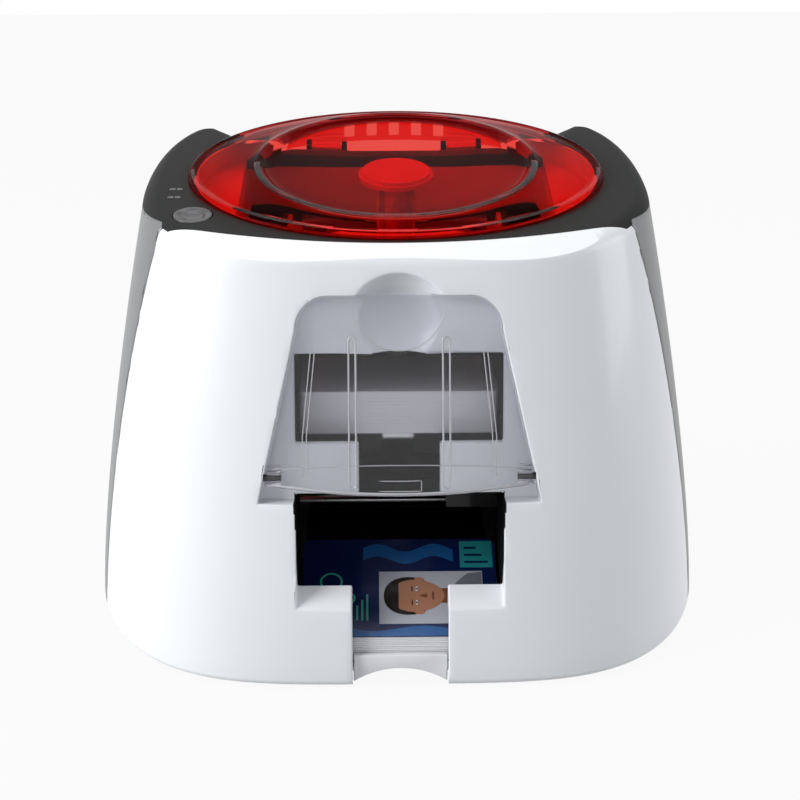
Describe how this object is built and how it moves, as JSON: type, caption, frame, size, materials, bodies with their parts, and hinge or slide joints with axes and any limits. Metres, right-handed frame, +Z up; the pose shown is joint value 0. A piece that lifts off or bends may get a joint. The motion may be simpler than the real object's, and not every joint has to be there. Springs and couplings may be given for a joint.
{
  "type": "id card printer",
  "caption": "Desktop card printer with a leaning rounded housing, smoked feeder flap, card hopper with thumb notch and hinged translucent red cover over the ribbon bay.",
  "frame": {"origin": "on the table, under the middle of the housing", "axes": "+Z up, +X to the right seen from the front, +Y to the back; the front faces -Y"},
  "size_m": [0.2856, 0.2364, 0.2208],
  "materials": {
    "shell_white": "smooth semi-gloss white",
    "shell_silver": "satin silver-grey",
    "bezel_anthracite": "fine matte anthracite",
    "chassis_gray": "matte grey paint",
    "black_rubber": "matte black rubber",
    "zinc_steel": "zinc-plated steel",
    "cover_red": "glossy translucent red",
    "presser_red": "glossy red",
    "flap_smoke": "clear smoked plastic",
    "button_gray": "satin grey",
    "light_pipe": "frosted light pipe",
    "tray_white": "smooth white",
    "card_white": "smooth white card",
    "card_artwork": "glossy printed card in dark blue and teal",
    "black_plastic": "matte black",
    "frame_steel": "plain sheet steel",
    "shaft_steel": "ground steel",
    "gear_ivory": "natural moulded nylon",
    "pinion_brass": "machined brass",
    "motor_body": "black lacquer",
    "cleaning_blue": "tacky blue silicone",
    "ribbon_film": "dark dye film",
    "head_aluminium": "machined aluminium",
    "board_green": "green circuit board"
  },
  "bodies": {
    "housing": {"front_shell": "shell_white", "rear_shell": "shell_silver", "top_bezel": "bezel_anthracite", "base_plate": "chassis_gray", "rubber_feet": "black_rubber", "case_screws": "zinc_steel", "hinge_brackets": "bezel_anthracite", "hinge_pins": "zinc_steel", "flap_pins": "zinc_steel", "status_lights": "light_pipe", "feeder_tray": "tray_white", "blank_cards": "card_white", "output_tray": "tray_white", "printed_cards": "card_white", "artwork_card": "card_artwork", "exit_chute": "black_plastic", "left_frame": "frame_steel", "right_frame": "frame_steel", "tie_bars": "zinc_steel", "idler_studs": "shaft_steel", "drive_motor": "motor_body", "cassette_frame": "black_plastic", "ribbon_film": "ribbon_film", "main_board": "board_green", "usb_socket": "zinc_steel", "power_socket": "black_plastic"},
    "cover": {"top_cover": "cover_red", "head_presser": "presser_red"},
    "flap": {"feeder_flap": "flap_smoke"},
    "button": {"control_button": "button_gray"},
    "pick": {"pick_roller": "black_rubber", "pick_shaft": "shaft_steel", "pick_gear": "gear_ivory"},
    "entry": {"entry_roller": "black_rubber", "entry_shaft": "shaft_steel", "entry_gear": "gear_ivory"},
    "platen": {"platen_roller": "black_rubber", "platen_shaft": "shaft_steel", "platen_gear": "gear_ivory"},
    "exit": {"exit_roller": "black_rubber", "exit_shaft": "shaft_steel", "exit_gear": "gear_ivory"},
    "idler_a": {"idler_a": "gear_ivory"},
    "idler_b": {"idler_b": "gear_ivory"},
    "idler_c": {"idler_c": "gear_ivory"},
    "drive": {"drive_gear": "gear_ivory"},
    "rotor": {"motor_pinion": "pinion_brass"},
    "cleaning": {"cleaning_roller": "cleaning_blue", "cleaning_shaft": "shaft_steel"},
    "pinch": {"pinch_roller": "black_rubber", "pinch_shaft": "shaft_steel"},
    "supply": {"supply_spool": "gear_ivory", "supply_ribbon": "ribbon_film"},
    "take_up": {"take_up_spool": "gear_ivory", "wound_ribbon": "ribbon_film"},
    "head": {"print_head": "head_aluminium", "head_carriage": "black_plastic"}
  },
  "joints": [
    {"name": "cover_hinge", "type": "hinge", "parent": "housing", "child": "cover", "pos_m": [0, 0.07296, 0.1995], "axis": [-1, 0, 0], "range_deg": [0, 80]},
    {"name": "flap_hinge", "type": "hinge", "parent": "housing", "child": "flap", "pos_m": [0, -0.09939, 0.0902], "axis": [1, 0, 0], "range_deg": [0, 95]},
    {"name": "button_press", "type": "slide", "parent": "housing", "child": "button", "axis": [0, 0.1994, -0.9799], "range_m": [0, 0.001], "stiffness_N_per_m": 600, "springref_m": -0.001},
    {"name": "head_lift", "type": "slide", "parent": "housing", "child": "head", "axis": [0, 0, 1], "range_m": [0, 0.0039]},
    {"name": "platen_spin", "type": "hinge", "parent": "housing", "child": "platen", "pos_m": [0, 0.01714, 0.09435], "axis": [1, 0, 0], "continuous": true},
    {"name": "entry_spin", "type": "hinge", "parent": "housing", "child": "entry", "pos_m": [0, -0.01086, 0.09535], "axis": [1, 0, 0], "continuous": true},
    {"name": "pick_spin", "type": "hinge", "parent": "housing", "child": "pick", "pos_m": [0, -0.04886, 0.0922], "axis": [1, 0, 0], "continuous": true},
    {"name": "exit_spin", "type": "hinge", "parent": "housing", "child": "exit", "pos_m": [0, 0.05314, 0.09535], "axis": [1, 0, 0], "continuous": true},
    {"name": "idler_a_spin", "type": "hinge", "parent": "housing", "child": "idler_a", "pos_m": [0, -0.02936, 0.08774], "axis": [1, 0, 0], "continuous": true},
    {"name": "idler_b_spin", "type": "hinge", "parent": "housing", "child": "idler_b", "pos_m": [0, 0.00279, 0.08522], "axis": [1, 0, 0], "continuous": true},
    {"name": "idler_c_spin", "type": "hinge", "parent": "housing", "child": "idler_c", "pos_m": [0, 0.0353, 0.08879], "axis": [1, 0, 0], "continuous": true},
    {"name": "drive_spin", "type": "hinge", "parent": "housing", "child": "drive", "pos_m": [0, 0.01963, 0.07451], "axis": [1, 0, 0], "continuous": true},
    {"name": "motor_spin", "type": "hinge", "parent": "housing", "child": "rotor", "pos_m": [0, 0.01963, 0.05851], "axis": [1, 0, 0], "continuous": true},
    {"name": "cleaning_spin", "type": "hinge", "parent": "housing", "child": "cleaning", "pos_m": [0, -0.01086, 0.10791], "axis": [1, 0, 0], "continuous": true},
    {"name": "pinch_spin", "type": "hinge", "parent": "housing", "child": "pinch", "pos_m": [0, 0.05314, 0.10741], "axis": [1, 0, 0], "continuous": true},
    {"name": "supply_spin", "type": "hinge", "parent": "housing", "child": "supply", "pos_m": [0, -0.03386, 0.163], "axis": [1, 0, 0], "continuous": true},
    {"name": "take_up_spin", "type": "hinge", "parent": "housing", "child": "take_up", "pos_m": [0, 0.05113, 0.16], "axis": [1, 0, 0], "continuous": true}
  ],
  "couplings": [
    {"joint": "entry_spin", "follows": "platen_spin", "ratio": 1},
    {"joint": "pick_spin", "follows": "platen_spin", "ratio": 1},
    {"joint": "exit_spin", "follows": "platen_spin", "ratio": 1},
    {"joint": "idler_a_spin", "follows": "platen_spin", "ratio": -1},
    {"joint": "idler_b_spin", "follows": "platen_spin", "ratio": -1.4286},
    {"joint": "idler_c_spin", "follows": "platen_spin", "ratio": -1.1111},
    {"joint": "drive_spin", "follows": "platen_spin", "ratio": -1},
    {"joint": "motor_spin", "follows": "platen_spin", "ratio": 1.6667},
    {"joint": "cleaning_spin", "follows": "platen_spin", "ratio": -1.0909},
    {"joint": "pinch_spin", "follows": "platen_spin", "ratio": -1.2},
    {"joint": "supply_spin", "follows": "platen_spin", "ratio": 0.41176},
    {"joint": "take_up_spin", "follows": "platen_spin", "ratio": 0.7},
    {"joint": "head_lift", "follows": "cover_hinge", "m_per_rad": 0.0027}
  ]
}
